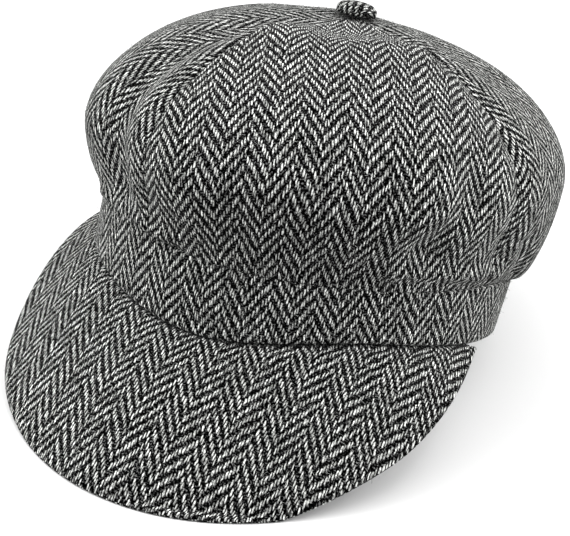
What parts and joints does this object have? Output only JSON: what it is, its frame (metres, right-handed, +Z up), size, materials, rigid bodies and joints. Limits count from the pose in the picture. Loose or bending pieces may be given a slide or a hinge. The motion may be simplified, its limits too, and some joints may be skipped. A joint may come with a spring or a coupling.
{
  "type": "baker boy cap",
  "caption": "Full baker boy cap in black and off-white herringbone tweed: puffed panelled crown, head band, rounded stiff peak and a covered button on top.",
  "frame": {"origin": "middle of the bottom of the bounding box, on the table that the cap rests on", "axes": "+Z up, -Y the way the peak points, +X the wearer's left"},
  "size_m": [0.1964, 0.2748, 0.1485],
  "materials": {
    "tweed": "matte woven wool"
  },
  "bodies": {
    "root": {"crown_panel_front_left": "tweed", "crown_panel_back_left": "tweed", "crown_panel_back_right": "tweed", "crown_panel_front_right": "tweed", "band": "tweed", "peak": "tweed", "button": "tweed"}
  },
  "joints": []
}
